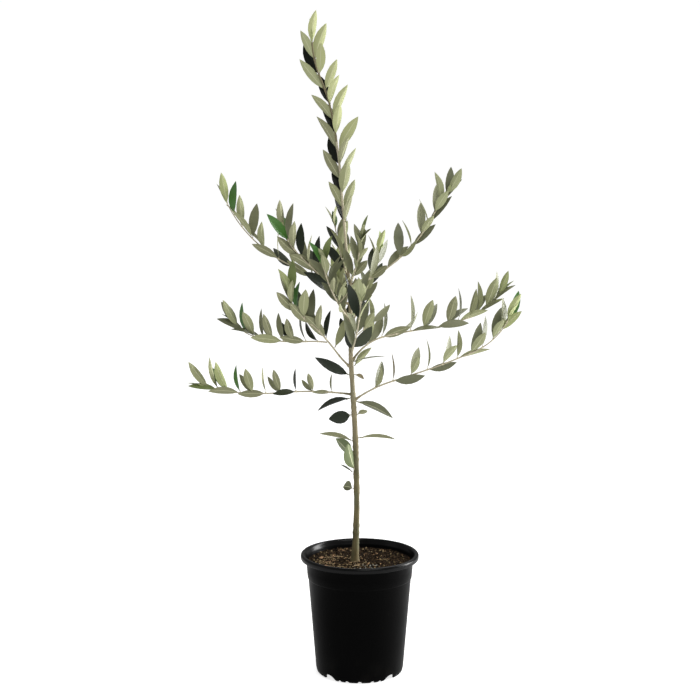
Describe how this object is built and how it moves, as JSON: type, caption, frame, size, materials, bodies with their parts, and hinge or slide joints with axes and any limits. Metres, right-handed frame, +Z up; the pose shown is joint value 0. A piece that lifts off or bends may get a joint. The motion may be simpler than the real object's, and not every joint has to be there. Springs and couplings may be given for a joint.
{
  "type": "potted olive tree",
  "caption": "Young olive tree with a slender trunk, arching leafy side shoots and a leafy leader, standing in a tapered round nursery pot filled with soil.",
  "frame": {"origin": "centre of the pot's flat underside", "axes": "+Z up along the pot's axis, +X to the right and -Y to the front, as the tree is seen from its front"},
  "size_m": [0.5585, 0.2881, 1.1155],
  "materials": {
    "pot_plastic": "satin black moulded plastic",
    "potting_soil": "loose bark and peat potting mix",
    "bark": "smooth young grey-olive bark",
    "foliage": "leathery leaves, dark above and silvery sage below"
  },
  "bodies": {
    "root": {"back_low_bough": "bark", "back_low_foliage": "foliage", "back_middle_bough": "bark", "back_middle_foliage": "foliage", "back_upper_bough": "bark", "back_upper_foliage": "foliage", "front_low_bough": "bark", "front_low_foliage": "foliage", "front_middle_bough": "bark", "front_middle_foliage": "foliage", "front_upper_bough": "bark", "front_upper_foliage": "foliage", "leader_foliage": "foliage", "low_left_bough": "bark", "low_left_foliage": "foliage", "low_right_bough": "bark", "low_right_foliage": "foliage", "middle_left_bough": "bark", "middle_left_foliage": "foliage", "middle_left_leaf_foliage": "foliage", "middle_left_side_foliage": "foliage", "middle_right_bough": "bark", "middle_right_foliage": "foliage", "pot": "pot_plastic", "soil": "potting_soil", "trunk": "bark", "trunk_leaf_10_foliage": "foliage", "trunk_leaf_11_foliage": "foliage", "trunk_leaf_12_foliage": "foliage", "trunk_leaf_13_foliage": "foliage", "trunk_leaf_14_foliage": "foliage", "trunk_leaf_15_foliage": "foliage", "trunk_leaf_1_foliage": "foliage", "trunk_leaf_2_foliage": "foliage", "trunk_leaf_3_foliage": "foliage", "trunk_leaf_4_foliage": "foliage", "trunk_leaf_5_foliage": "foliage", "trunk_leaf_6_foliage": "foliage", "trunk_leaf_7_foliage": "foliage", "trunk_leaf_8_foliage": "foliage", "trunk_leaf_9_foliage": "foliage", "upper_left_inner_bough": "bark", "upper_left_inner_foliage": "foliage", "upper_left_outer_bough": "bark", "upper_left_outer_foliage": "foliage", "upper_right_bough": "bark", "upper_right_foliage": "foliage"}
  },
  "joints": []
}
